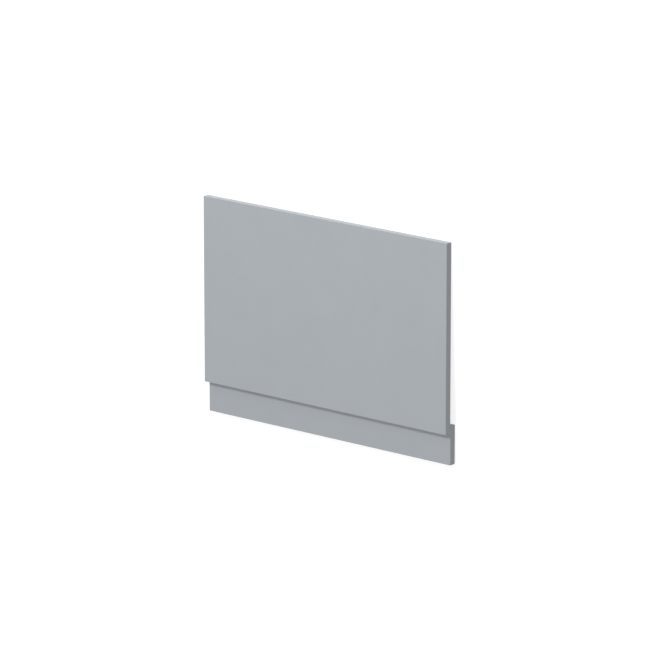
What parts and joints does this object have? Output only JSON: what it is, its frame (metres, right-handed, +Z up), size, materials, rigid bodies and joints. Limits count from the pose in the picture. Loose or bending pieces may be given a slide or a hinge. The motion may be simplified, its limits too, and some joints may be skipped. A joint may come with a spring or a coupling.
{
  "type": "bath panel",
  "caption": "Flat grey board panel that closes the end of a bath, with a set-back plinth board lapped behind its lower edge.",
  "frame": {"origin": "on the floor, under the middle of the part as it lies on its back", "axes": "+X along the width, to the right as seen from the front when fitted; +Y towards the panel's top edge; +Z up, out of the front face. The boards lean 2.24 degrees down towards +Y, because the plinth lies under one end"},
  "size_m": [0.78, 0.561, 0.0367],
  "materials": {
    "grey_faced_board": "satin",
    "zinc_plated_steel": "satin"
  },
  "bodies": {
    "root": {"upper_panel": "grey_faced_board", "plinth": "grey_faced_board"}
  },
  "joints": []
}
